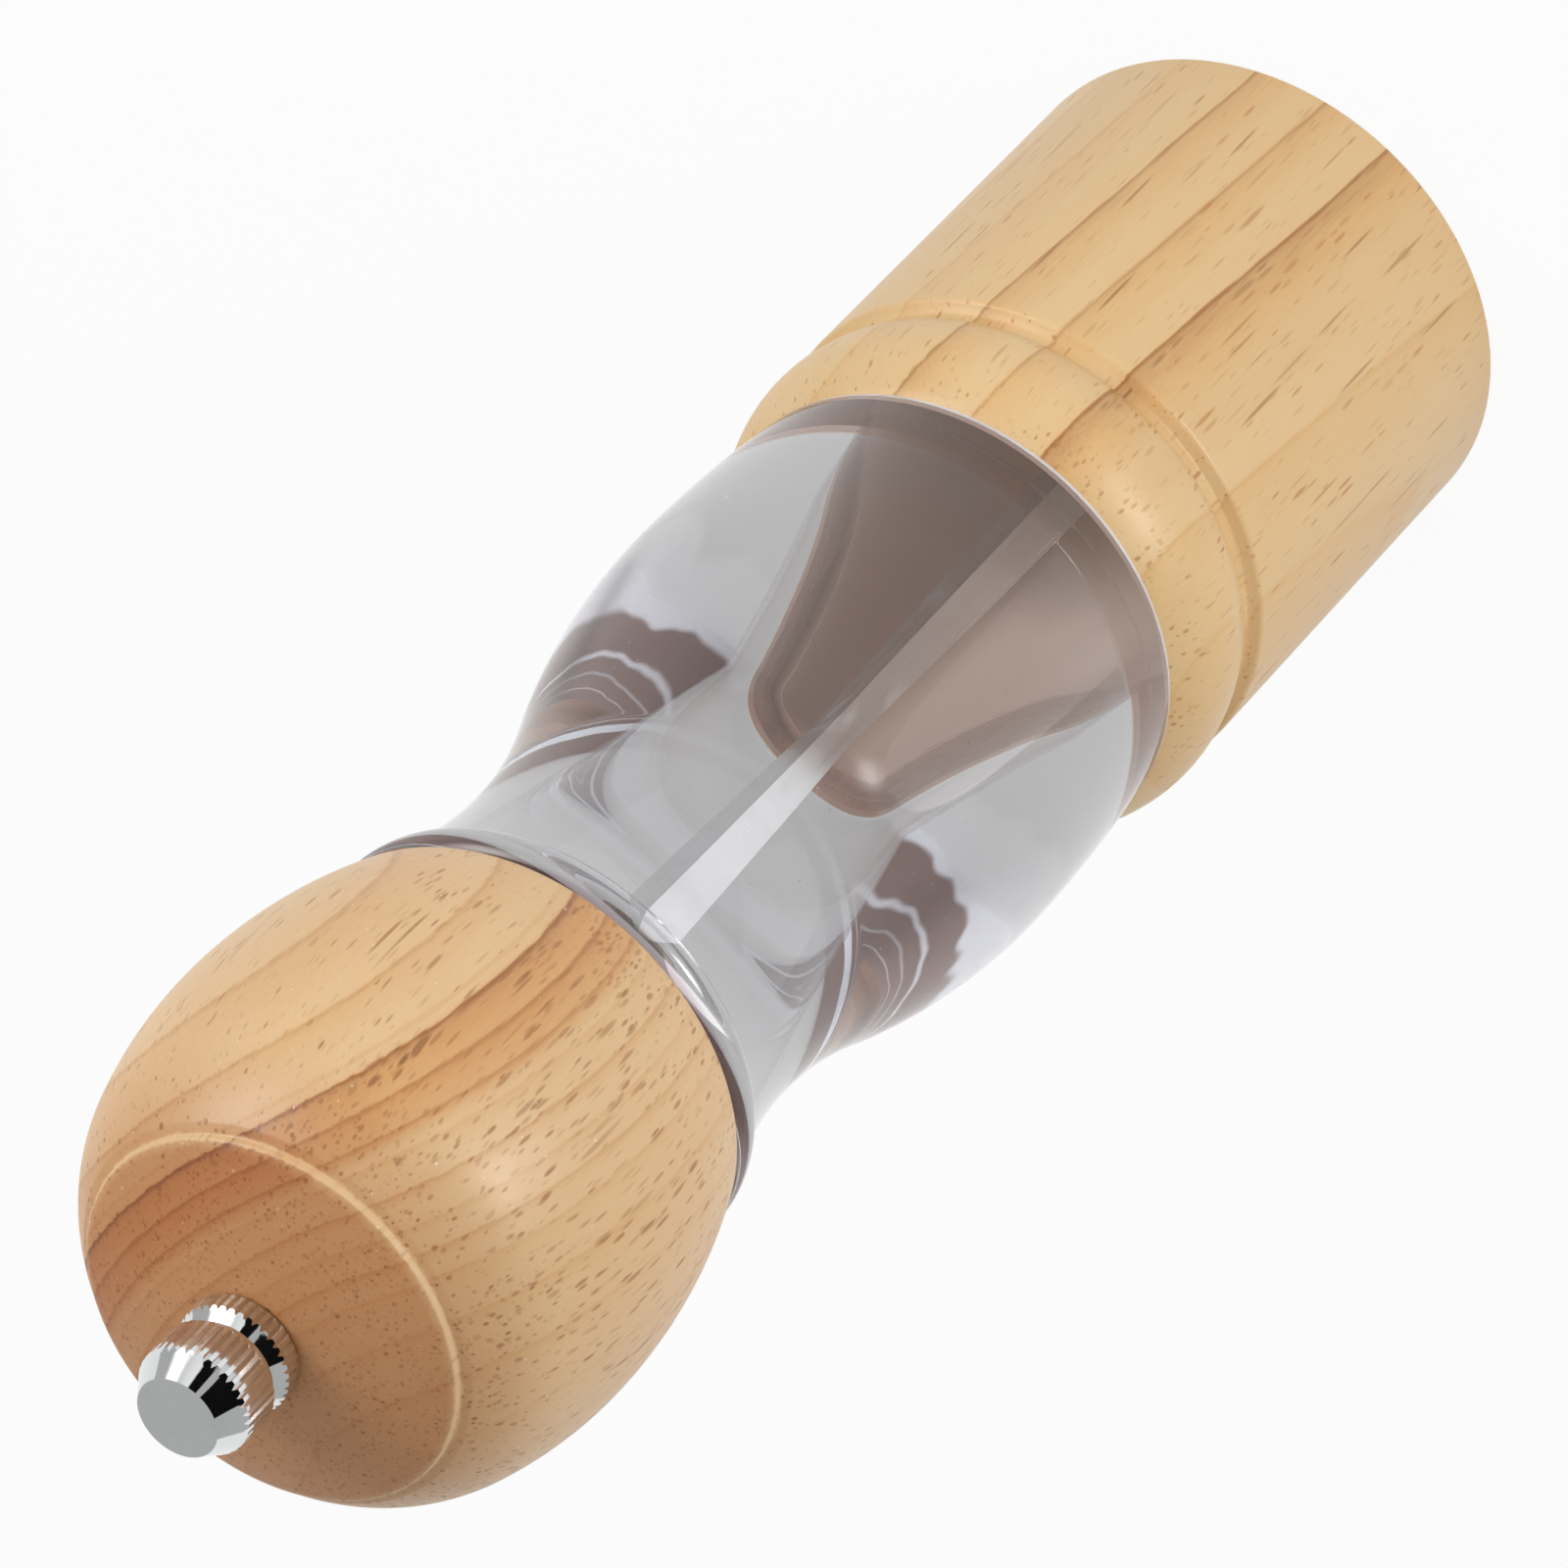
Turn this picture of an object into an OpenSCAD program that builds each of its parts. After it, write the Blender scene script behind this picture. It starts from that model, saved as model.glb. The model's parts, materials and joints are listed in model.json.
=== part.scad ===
// Pepper mill with a turned wooden base and head and a clear hourglass body.
// The head turns the square shaft, the shaft turns the inner burr, and the
// knurled nut on top lifts the shaft and so sets the gap between the burrs.
// Millimetres, +Z up, origin in the middle of the foot.

/* [Base] */
// Radius of the straight side of the base
base_r = 28; // [26:0.1:40]
// Height of the base, from the foot to the land that carries the body
base_h = 65; // [60:0.5:90]
// Radius of the rounded edge round the foot
foot_round = 0.7; // [0.3:0.1:1.5]
// Height of the turned bead under the body
bead_h = 12.3; // [8:0.1:16]
// How far the bead stands proud of the straight side
bead_proud = 0.25; // [0:0.05:1]
// Height of the bead's widest place below the land
bead_crest = 7.5; // [5:0.1:8]
// Height of the turned groove between the bead and the straight side
groove_h = 2.2; // [1:0.1:4]
// Depth of the groove from the straight side
groove_d = 1.4; // [0.5:0.1:2.5]
// Radius of the bore that peppercorns fall through
throat_r = 17.8; // [17.6:0.1:19]
// Radius of the recess under the base
recess_r = 22.5; // [22:0.1:24]
// Width of the bare land outside the clear body
land_edge = 0.4; // [0.2:0.1:1]

/* [Body] */
// Height of the clear body, from the land to its rim
body_h = 82.3; // [80:0.1:100]
// Radius of the belly of the clear body
belly_r = 27.1; // [26.4:0.1:30]
// Height of the belly above the land
belly_up = 21.5; // [16:0.1:26]
// Radius of the arc that leaves the belly upwards
belly_arc = 74; // [60:1:90]
// Radius of the arc that leaves the belly downwards
skirt_arc = 175; // [120:1:300]
// Radius of the neck of the clear body
neck_r = 20.4; // [20:0.1:22]
// Height of the neck above the land
neck_up = 62.3; // [58:0.1:66]
// Radius of the rounded edge at the foot of the clear body
body_round = 1; // [0.5:0.1:2]
// Largest radius of the rim that the head turns on
rim_r = 24.1; // [23.6:0.1:24.4]
// Radius of the rounding of the rim
rim_round = 2.2; // [1.2:0.1:2.4]
// Radius of the pepper chamber at the rim
mouth_r = 15; // [14.5:0.1:16]
// Radius of the pepper chamber at its lower end
chamber_r = 17.5; // [16.5:0.1:18]
// Radius of the spigot glued into the base
spigot_r = 22.5; // [21:0.1:23.5]
// Depth of the spigot
spigot_h = 6; // [4:0.1:10]

/* [Head] */
// Largest radius of the head
head_r = 28.06; // [27:0.01:30]
// Height of the widest place of the head above its seat
head_waist = 21.1; // [18:0.1:24]
// Radius of the arc from the widest place down to the seat
head_low_arc = 59; // [50:1:90]
// Radius of the arc that leaves the widest place upwards
head_high_arc = 50; // [45:1:70]
// Height of the straight-up part of the head that the high arc covers
head_high_h = 13.3; // [11:0.1:15]
// Radius of the shoulder arc that leads to the crown
shoulder_arc = 19.7; // [18:0.1:22]
// Radius of the crown, the raised button on top
crown_r = 20; // [18:0.1:20.5]
// Height of the step up to the crown
crown_step = 1.0; // [0.6:0.1:3]
// Radius of the sphere that the crown is part of
crown_sphere = 49.3; // [40:0.1:80]
// Height of the crown's edge above the head's seat
crown_up = 44.6; // [43.5:0.1:48]
// Radius of the rounded lower edge of the head
head_round = 2; // [0.5:0.1:3]
// Radius of the bore through the head
head_bore_r = 3.2; // [3:0.1:4]
// Depth of the short wooden spigot that centres the head
head_spigot_h = 4; // [3:0.1:6]

/* [Shaft] */
// Side of the square shaft
shaft_side = 4; // [3.6:0.1:4.2]
// Angle of the shaft's flats as it stands
shaft_turn = 63; // [0:1:89]
// Radius of the threaded ends, drawn as plain pins
thread_r = 1.8; // [1.5:0.05:1.8]
// Pitch of the thread, which is the lift of the shaft for one turn of the nut
thread_pitch = 0.7; // [0.5:0.05:1]
// Turns of the nut between fine and coarse
nut_turns = 2.5; // [1:0.1:3]
// Height of the shaft's foot above the table at the coarsest setting
shaft_clear = 2.65; // [2:0.05:4]
// Length of thread hidden inside the head, below the nut
thread_below = 8; // [4:0.5:14]
// Length of thread inside the nut
thread_in_nut = 8.5; // [6:0.1:8.9]
// Clearance of the shaft in its bearing and of the thread in the nut
running_gap = 0.08; // [0.02:0.01:0.1]
// Clearance of the shaft in square holes that it drives
drive_gap = 0.12; // [0.05:0.01:0.2]

/* [Nut] */
// Radius of the knurled nut over its ridges
nut_r = 5.95; // [5.5:0.05:6.5]
// Height of the knurled flange at the foot of the nut
nut_flange_h = 2.5; // [2:0.1:3.5]
// Height of the waist groove round the nut
nut_waist_h = 1.9; // [1:0.1:3]
// Depth of the waist groove
nut_waist_d = 0.95; // [0.5:0.05:1.5]
// Height of the main knurled band
nut_band_h = 4.7; // [3:0.1:6]
// Height of the smooth cone above the band
nut_cone_h = 2.8; // [1.8:0.1:4]
// Radius of the flat end of the nut
nut_face_r = 4.32; // [3.5:0.05:4.8]
// Number of grooves in the knurl
knurls = 38; // [20:1:48]
// Depth of a knurl groove
knurl_d = 0.28; // [0.2:0.02:0.42]
// Width of the small edge chamfers of the nut
nut_chamfer = 0.3; // [0.1:0.05:0.5]
// Width of the flat seat that shows round the nut
seat_margin = 0.6; // [0.2:0.1:1.5]
// Free depth of the nut's bore above the thread
blind_gap = 1; // [0.5:0.1:1.5]

/* [Grinder] */
// Radius of the flange of the grinder housing
flange_r = 22.2; // [21.8:0.1:22.3]
// Thickness of that flange
flange_t = 2.5; // [1.5:0.1:4]
// Height of the grinder housing above its flange
housing_h = 25; // [24:0.5:30]
// Radius of the outer burr
burr_r = 15.3; // [14.8:0.1:15.6]
// Height of the outer burr
burr_h = 13.5; // [13:0.1:15]
// Height of the fine-grinding zone of the outer burr
fine_h = 7.5; // [6:0.1:8]
// Inside radius of the outer burr at its foot
fine_foot_r = 13.1; // [12.9:0.05:13.3]
// Inside radius of the outer burr where its fine zone starts
fine_top_r = 11.9; // [11.7:0.05:12]
// Gap between the burrs at the finest setting
burr_gap = 0.4; // [0.3:0.05:0.8]
// Number of teeth in each burr
teeth = 24; // [12:1:30]
// Depth of a fine tooth
tooth_d = 0.5; // [0.2:0.05:0.7]
// Number of feeding grooves in the inner burr
feed_grooves = 6; // [3:1:8]
// Width of a feeding groove
feed_w = 2.2; // [1.5:0.1:3]
// Lean of a feeding groove
feed_lean = 24; // [10:1:35]
// Wall of the inner burr at its top
burr_wall = 1.6; // [1.2:0.1:2]
// Width of the lip that the outer burr stops against
burr_lip = 2; // [1.5:0.1:2.4]
// Height of the inner burr's carrier above the foot of the outer burr
carrier_up = 2.6; // [2.3:0.1:3]
// Radius of the hub that carries the inner burr
carrier_r = 5.4; // [5:0.1:5.8]
// Width of the hub's flange under the inner burr
carrier_flange_w = 3; // [2:0.1:4]
// Thickness of the hub's flange under the inner burr
carrier_flange_t = 1.4; // [1:0.1:2]
// Depth of the pocket that holds the bridge
bridge_pocket_h = 5; // [4:0.1:6]
// Thickness of the bridge
bridge_t = 3.5; // [2:0.1:3.9]
// Width of the rim of the bridge
bridge_rim = 2.7; // [2:0.1:3]
// Width of an arm of the bridge
arm_w = 3.2; // [2:0.1:4]
// Number of arms of the bridge
arms = 3; // [2:1:4]
// Angle of the first arm of the bridge
arm_turn = 60; // [0:5:90]
// Radius of the bridge's bearing hub
hub_r = 5; // [4.5:0.1:5.5]
// Height of the bearing hub
hub_h = 6.5; // [5:0.1:6.5]
// Clearance of pieces that are pushed or glued into each other
fit_gap = 0.1; // [0.05:0.01:0.15]
// Clearance between pieces that turn or slide past each other
turn_gap = 0.3; // [0.2:0.05:0.4]

/* [Spring] */
// Diameter of the spring's wire
wire_d = 0.8; // [0.5:0.05:0.9]
// Mean radius of the spring
spring_r = 4.2; // [4:0.1:4.4]
// Number of turns of the spring
spring_turns = 4; // [2:0.5:5]
// Thickness of the thrust washer and the spring seat
washer_t = 0.6; // [0.4:0.1:1]
// Radius of the thrust washer and the spring seat
washer_r = 5.4; // [5:0.1:5.8]

/* [Fasteners] */
// Radius of the shank of the small wood screws
screw_r = 1.1; // [0.8:0.05:1.3]
// Radius of the head of the small wood screws
screw_head_r = 1.9; // [1.6:0.05:2]
// Height of the head of the small wood screws
screw_head_h = 1.5; // [1:0.1:2]
// Width of the slot in a screw head
slot_w = 0.5; // [0.3:0.1:0.8]
// Length of the thread that bites into the wood
screw_bite = 9; // [5:0.5:12]
// Screws of each kind
screws = 3; // [2:1:4]
// Angle of the first screw
screw_turn = 30; // [0:5:90]
// Thickness of the ring that holds the outer burr
ring_t = 0.9; // [0.6:0.1:1.5]
// Thickness of the drive plate under the head
plate_t = 1.2; // [0.8:0.1:2]
// Radius of the drive plate
plate_r = 12.5; // [11:0.1:13.5]
// Distance of the plate's screws from the axis
plate_screw_at = 8.6; // [7.5:0.1:9.5]
// Width across the flats of the lower shaft nut
lower_nut_af = 7; // [6:0.1:8]
// Height of the lower shaft nut
lower_nut_h = 3; // [2:0.1:3.2]
// Thickness of the washer above the lower nut
lower_washer_t = 0.8; // [0.5:0.1:1.2]
// Length of shaft that shows below the lower nut
shaft_tail = 0.8; // [0.2:0.1:1]

/* [Hidden] */
$fn = 180;
small_fn = 48;
wire_sides = 8;
end_turn = 0.75;
far = 200;
cut = 1;

// Heights, from the foot upwards. The shaft's foot clears the table when the nut is
// let out by all its turns, and the grinder stacks up from there.
travel = thread_pitch * nut_turns;
shaft_foot_z = shaft_clear + travel;
lower_nut_z = shaft_foot_z + shaft_tail;
lower_washer_z = lower_nut_z + lower_nut_h;
carrier_z = lower_washer_z + lower_washer_t;
inner_burr_z = carrier_z + carrier_flange_t;
flange_z = carrier_z - carrier_up;
ring_z = flange_z - ring_t;
shoulder_z = flange_z + flange_t;
burr_top_z = flange_z + burr_h;
housing_top_z = shoulder_z + housing_h;
pocket_z = housing_top_z - bridge_pocket_h;
hub_z = housing_top_z - hub_h;
thrust_z = hub_z - turn_gap - washer_t;
seat_z = burr_top_z + turn_gap;
spring_low_z = seat_z + washer_t + wire_d / 2;
spring_high_z = thrust_z - wire_d / 2;
rim_z = base_h + body_h;
head_z = rim_z + turn_gap;
head_spigot_z = head_z - head_spigot_h;
plate_z = head_spigot_z - plate_t;
crown_z = head_z + crown_up;
nut_seat_r = nut_r + seat_margin;
crown_centre_z = crown_z - sqrt(pow(crown_sphere, 2) - pow(crown_r, 2));
nut_seat_z = crown_centre_z + sqrt(pow(crown_sphere, 2) - pow(nut_seat_r, 2));
nut_z = nut_seat_z + fit_gap;
nut_h = nut_flange_h + nut_waist_h + nut_band_h + nut_cone_h;
knurl_side = knurl_d * sqrt(2);
shaft_top_z = nut_z + thread_in_nut;
square_top_z = nut_seat_z - thread_below;

// Radii that follow from others
housing_r = throat_r - fit_gap;
burr_pocket_r = burr_r + fit_gap;
feed_r = burr_pocket_r - burr_lip;
shaft_corner_r = shaft_side / sqrt(2);
screw_at = (throat_r + recess_r) / 2;
head_spigot_r = mouth_r - turn_gap - fit_gap;

// The neck arc touches the belly arc, so its radius follows
belly_z = base_h + belly_up;
neck_z = base_h + neck_up;
waist_in = belly_r - neck_r;
neck_arc = (pow(waist_in, 2) + pow(neck_z - belly_z, 2)) / (2 * waist_in) - belly_arc;
meet_z = belly_z + (neck_z - belly_z) * belly_arc / (belly_arc + neck_arc);

// The bead's arc stands upright at its crest and ends on the land, outside the body
bead_r = base_r + bead_proud;
bead_in = bead_r - (belly_r - pow(belly_up, 2) / (2 * skirt_arc)) + land_edge;
bead_arc = (pow(bead_in, 2) + pow(bead_crest, 2)) / (2 * bead_in);
bead_z = base_h - bead_crest;
groove_top_z = base_h - bead_h;
groove_z = groove_top_z - groove_h;

// The head's arcs share an upright tangent at its widest place, and the rounded lower edge
// touches both the low arc and the seat
head_mid_z = head_z + head_waist;
high_angle = asin(head_high_h / head_high_arc);
edge_angle = asin((head_waist - head_round) / (head_low_arc - head_round));
edge_r = head_r - head_low_arc + (head_low_arc - head_round) * cos(edge_angle);
edge_z = head_mid_z - head_low_arc * sin(edge_angle);
shoulder_r = head_r - head_high_arc * (1 - cos(high_angle)) - shoulder_arc * cos(high_angle);
shoulder_z0 = head_mid_z + head_high_h;
shoulder_cz = shoulder_z0 - shoulder_arc * sin(high_angle);

// A flat band of the half plane, from one height to another
module band(low, high) {
    translate([0, low])
        square([far, high - low]);
}

// The part of a circle that lies in a band, for a turned profile
module arc_band(centre, radius, low, high) {
    intersection() {
        translate(centre)
            circle(radius);
        band(low, high);
    }
}

// A tube or a washer
module tube(low, high, outer, inner) {
    translate([0, 0, low])
        difference() {
            cylinder(h = high - low, r = outer);
            translate([0, 0, -cut])
                cylinder(h = high - low + 2 * cut, r = inner);
        }
}

// A round hole or pin on the axis
module post(low, high, radius) {
    translate([0, 0, low])
        cylinder(h = high - low, r = radius);
}

// A square bar along the axis, turned with the shaft
module square_bar(low, high, side) {
    translate([0, 0, (low + high) / 2])
        rotate([0, 0, shaft_turn])
            cube([side, side, high - low], center = true);
}

// Copies of a child round the axis
module ring_of(count, at, start = 0) {
    for (i = [0 : count - 1])
        rotate([0, 0, start + 360 * i / count])
            translate([at, 0, 0])
                children();
}

// A wood screw with its head down, from the underside of what it clamps
module screw(under, clamped) {
    translate([0, 0, under - screw_head_h])
        cylinder(h = screw_head_h, r = screw_head_r, $fn = small_fn);
    translate([0, 0, under])
        cylinder(h = clamped + screw_bite, r = screw_r, $fn = small_fn);
}

// A slot in a screw head
module screw_slot(under) {
    translate([0, 0, under - screw_head_h])
        cube([2 * screw_head_r + cut, slot_w, 0.8 * screw_head_h], center = true);
}

module screw_hole(low, high) {
    translate([0, 0, low])
        cylinder(h = high - low, r = screw_r + fit_gap / 2, $fn = small_fn);
}

module base_profile() {
    difference() {
        union() {
            translate([0, foot_round])
                square([base_r, groove_z - 2 * foot_round]);
            square([base_r - foot_round, groove_z]);
            translate([base_r - foot_round, foot_round])
                circle(foot_round, $fn = small_fn);
            translate([base_r - foot_round, groove_z - foot_round])
                circle(foot_round, $fn = small_fn);
            translate([0, foot_round])
                square([base_r - groove_d, base_h - foot_round - cut]);
            arc_band([bead_r - bead_arc, bead_z], bead_arc, groove_top_z, base_h);
        }
        translate([-far, 0])
            square([far, far]);
    }
}

module base() {
    color([0.87, 0.72, 0.52])
        difference() {
            rotate_extrude()
                base_profile();
            post(-cut, base_h + cut, throat_r);
            post(-cut, shoulder_z, recess_r);
            post(base_h - spigot_h - fit_gap, base_h + cut, spigot_r + fit_gap);
            ring_of(screws, screw_at, screw_turn)
                screw_hole(shoulder_z - cut, shoulder_z + screw_bite);
        }
}

module grinder_housing() {
    color([0.16, 0.16, 0.17])
        difference() {
            union() {
                post(flange_z, shoulder_z, flange_r);
                post(flange_z, housing_top_z, housing_r);
            }
            post(flange_z - cut, burr_top_z + fit_gap, burr_pocket_r);
            post(burr_top_z, housing_top_z, feed_r);
            post(pocket_z, housing_top_z + cut, burr_pocket_r);
            ring_of(screws, screw_at, screw_turn)
                screw_hole(flange_z - cut, shoulder_z + cut);
        }
}

// Inside of the outer burr: wide at the top, narrow where fine grinding starts, wider at the foot
module outer_burr_profile() {
    polygon([
        [burr_r, flange_z],
        [burr_r, burr_top_z],
        [feed_r, burr_top_z],
        [fine_top_r, flange_z + fine_h],
        [fine_foot_r, flange_z]
    ]);
}

module outer_burr() {
    color([0.93, 0.92, 0.88])
        difference() {
            rotate_extrude()
                outer_burr_profile();
            ring_of(teeth, fine_top_r)
                translate([0, 0, flange_z])
                    rotate([0, 0, 45])
                        cube([1.4 * tooth_d, 1.4 * tooth_d, 4 * burr_h], center = true);
        }
}

module burr_retaining_ring() {
    color([0.75, 0.76, 0.78])
        difference() {
            tube(ring_z, flange_z, flange_r, fine_foot_r + turn_gap);
            ring_of(screws, screw_at, screw_turn)
                screw_hole(ring_z - cut, flange_z + cut);
        }
}

module housing_screws() {
    color([0.8, 0.8, 0.82])
        ring_of(screws, screw_at, screw_turn)
            difference() {
                screw(ring_z, ring_t + flange_t);
                screw_slot(ring_z);
            }
}

module bridge() {
    rim_in = burr_r - bridge_rim;
    color([0.2, 0.2, 0.21])
        difference() {
            union() {
                tube(pocket_z, pocket_z + bridge_t, burr_r, rim_in);
                ring_of(arms, 0, arm_turn)
                    translate([0, -arm_w / 2, pocket_z])
                        cube([(rim_in + burr_r) / 2, arm_w, bridge_t]);
                post(hub_z, housing_top_z, hub_r);
            }
            post(hub_z - cut, housing_top_z + cut, shaft_corner_r + running_gap);
        }
}

// Outline of the clear body without its chamber
module body_profile() {
    arc_band([belly_r - skirt_arc, belly_z], skirt_arc, base_h + body_round, belly_z);
    arc_band([belly_r - belly_arc, belly_z], belly_arc, belly_z - cut, meet_z + cut);
    difference() {
        translate([0, meet_z])
            square([belly_r, rim_z - rim_round - meet_z]);
        translate([neck_r + neck_arc, neck_z])
            circle(neck_arc);
    }
    translate([0, rim_z - rim_round])
        square([rim_r - rim_round, rim_round]);
    translate([rim_r - rim_round, rim_z - rim_round])
        circle(rim_round, $fn = small_fn);
    body_foot();
    translate([0, base_h - spigot_h])
        square([spigot_r, spigot_h + 2 * body_round]);
}

// Rounded lower edge of the clear body
module body_foot() {
    foot_r = belly_r - pow(belly_up - body_round, 2) / (2 * skirt_arc);
    translate([0, base_h])
        square([foot_r - body_round, body_round]);
    translate([foot_r - body_round, base_h + body_round])
        circle(body_round, $fn = small_fn);
}

// Half outline of the chamber, a little longer than the body on the same slope
module chamber_profile() {
    low = base_h - spigot_h;
    spread = cut * (chamber_r - mouth_r) / (rim_z - low);
    polygon([
        [0, low - cut],
        [chamber_r + spread, low - cut],
        [mouth_r - spread, rim_z + cut],
        [0, rim_z + cut]
    ]);
}

module acrylic_body() {
    color([0.85, 0.88, 0.9, 0.35])
        rotate_extrude()
            difference() {
                intersection() {
                    body_profile();
                    band(base_h - spigot_h, rim_z);
                }
                chamber_profile();
            }
}

module thrust_washer() {
    color([0.82, 0.83, 0.85])
        difference() {
            post(thrust_z, thrust_z + washer_t, washer_r);
            square_bar(thrust_z - cut, thrust_z + washer_t + cut, shaft_side + 2 * drive_gap);
        }
}

// Points of one ring of the spring's wire, square to the helix near enough
function helix_ring(a, z, sides) = [
    for (k = [0 : sides - 1])
        let (b = 360 * k / sides, r = spring_r + wire_d / 2 * cos(b))
            [r * cos(a), r * sin(a), z + wire_d / 2 * sin(b)]
];

// Height along the spring: its end turns lie nearly flat, and it climbs in between
function spring_z(t) =
    let (climb = min(max((t * spring_turns - end_turn) / (spring_turns - 2 * end_turn), 0), 1))
        spring_low_z + (spring_high_z - spring_low_z) * climb;

module burr_spring() {
    sides = wire_sides;
    steps = ceil(spring_turns * 20);
    points = [
        for (i = [0 : steps])
            each helix_ring(360 * spring_turns * i / steps, spring_z(i / steps), sides)
    ];
    walls = [
        for (i = [0 : steps - 1], k = [0 : sides - 1])
            let (n = (k + 1) % sides, p = i * sides, q = p + sides)
                [p + k, q + k, q + n, p + n]
    ];
    start = [for (k = [0 : sides - 1]) k];
    end = [for (k = [sides - 1 : -1 : 0]) steps * sides + k];
    color([0.7, 0.71, 0.73])
        polyhedron(points, concat(walls, [start], [end]), convexity = 10);
}

module drive_shaft() {
    color([0.78, 0.79, 0.8])
        union() {
            square_bar(carrier_z, square_top_z, shaft_side);
            post(shaft_foot_z, carrier_z + cut, thread_r);
            post(square_top_z - cut, shaft_top_z, thread_r);
        }
}

module rotor_carrier() {
    color([0.22, 0.22, 0.23])
        difference() {
            union() {
                post(carrier_z, seat_z, carrier_r);
                post(carrier_z, inner_burr_z, carrier_r + carrier_flange_w);
            }
            square_bar(carrier_z - cut, seat_z + cut, shaft_side + 2 * drive_gap);
        }
}

// Inner radius of the outer burr's fine zone at a height
function fine_r(z) = fine_foot_r + (fine_top_r - fine_foot_r) * (z - flange_z) / fine_h;

module inner_burr_profile() {
    knee_z = flange_z + fine_h;
    bore_r = carrier_r + fit_gap;
    polygon([
        [bore_r, inner_burr_z],
        [fine_r(inner_burr_z) - burr_gap, inner_burr_z],
        [fine_r(knee_z) - burr_gap, knee_z],
        [bore_r + burr_wall, burr_top_z],
        [bore_r, burr_top_z]
    ]);
}

module inner_burr() {
    outer = fine_r(inner_burr_z) - burr_gap;
    color([0.95, 0.94, 0.9])
        difference() {
            rotate_extrude()
                inner_burr_profile();
            ring_of(teeth, outer, 180 / teeth)
                translate([0, 0, inner_burr_z])
                    rotate([0, 0, 45])
                        cube([tooth_d, tooth_d, 4 * burr_h], center = true);
            ring_of(feed_grooves, outer - feed_w / 2)
                translate([0, 0, burr_top_z])
                    rotate([feed_lean, 0, 0])
                        cube([2 * carrier_r, feed_w, 1.4 * (burr_h - fine_h)], center = true);
        }
}

module spring_seat() {
    color([0.82, 0.83, 0.85])
        difference() {
            post(seat_z, seat_z + washer_t, washer_r);
            square_bar(seat_z - cut, seat_z + washer_t + cut, shaft_side + 2 * drive_gap);
        }
}

module lower_washer() {
    color([0.82, 0.83, 0.85])
        tube(lower_washer_z, carrier_z, carrier_r, thread_r + running_gap);
}

module lower_nut() {
    color([0.8, 0.8, 0.82])
        difference() {
            translate([0, 0, lower_nut_z])
                cylinder(h = lower_nut_h, r = lower_nut_af / sqrt(3), $fn = 6);
            post(lower_nut_z - cut, lower_washer_z + cut, thread_r + running_gap);
        }
}

module head_profile() {
    union() {
        arc_band([head_r - head_low_arc, head_mid_z], head_low_arc, edge_z, head_mid_z);
        arc_band([head_r - head_high_arc, head_mid_z], head_high_arc, head_mid_z - cut, shoulder_z0);
        arc_band([shoulder_r, shoulder_cz], shoulder_arc, shoulder_z0 - cut, crown_z - crown_step);
        translate([0, head_z])
            square([edge_r, head_round]);
        translate([edge_r, head_z + head_round])
            circle(head_round, $fn = small_fn);
        translate([0, head_mid_z])
            square([crown_r, crown_z - head_mid_z]);
        arc_band([0, crown_centre_z], crown_sphere, crown_z, nut_seat_z);
        translate([0, head_spigot_z])
            square([head_spigot_r, head_spigot_h + head_round]);
    }
}

module head() {
    color([0.8, 0.58, 0.36])
        difference() {
            rotate_extrude()
                intersection() {
                    head_profile();
                    band(head_spigot_z, nut_seat_z);
                }
            post(head_spigot_z - cut, nut_seat_z + cut, head_bore_r);
            ring_of(screws, plate_screw_at, screw_turn)
                screw_hole(head_spigot_z - cut, head_spigot_z + screw_bite);
        }
}

module drive_plate() {
    color([0.74, 0.75, 0.77])
        difference() {
            post(plate_z, head_spigot_z, plate_r);
            square_bar(plate_z - cut, head_spigot_z + cut, shaft_side + 2 * drive_gap);
            ring_of(screws, plate_screw_at, screw_turn)
                screw_hole(plate_z - cut, head_spigot_z + cut);
        }
}

module drive_plate_screws() {
    color([0.8, 0.8, 0.82])
        ring_of(screws, plate_screw_at, screw_turn)
            difference() {
                screw(plate_z, plate_t);
                screw_slot(plate_z);
            }
}

// Outline of the knurled nut: flange, waist groove, band and cone
module nut_profile() {
    flange_top = nut_z + nut_flange_h;
    band_z = flange_top + nut_waist_h;
    band_top = band_z + nut_band_h;
    polygon([
        [0, nut_z],
        [nut_r - nut_chamfer, nut_z],
        [nut_r, nut_z + nut_chamfer],
        [nut_r, flange_top - nut_chamfer],
        [nut_r - nut_waist_d, flange_top + nut_waist_h / 2],
        [nut_r - nut_waist_d, band_z - nut_chamfer],
        [nut_r - nut_chamfer, band_z],
        [nut_r, band_z + nut_chamfer],
        [nut_r, band_top],
        [nut_face_r, nut_z + nut_h],
        [0, nut_z + nut_h]
    ]);
}

module adjusting_nut() {
    color([0.86, 0.87, 0.88])
        difference() {
            rotate_extrude()
                nut_profile();
            ring_of(knurls, nut_r, 180 / knurls)
                translate([0, 0, nut_z - cut])
                    rotate([0, 0, 45])
                        translate([-knurl_side / 2, -knurl_side / 2, 0])
                            cube([knurl_side, knurl_side, nut_h]);
            post(nut_z - cut, shaft_top_z + blind_gap, thread_r + running_gap);
        }
}

base();
grinder_housing();
outer_burr();
burr_retaining_ring();
housing_screws();
bridge();
acrylic_body();
thrust_washer();
burr_spring();
drive_shaft();
rotor_carrier();
inner_burr();
spring_seat();
lower_washer();
lower_nut();
head();
drive_plate();
drive_plate_screws();
adjusting_nut();
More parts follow.
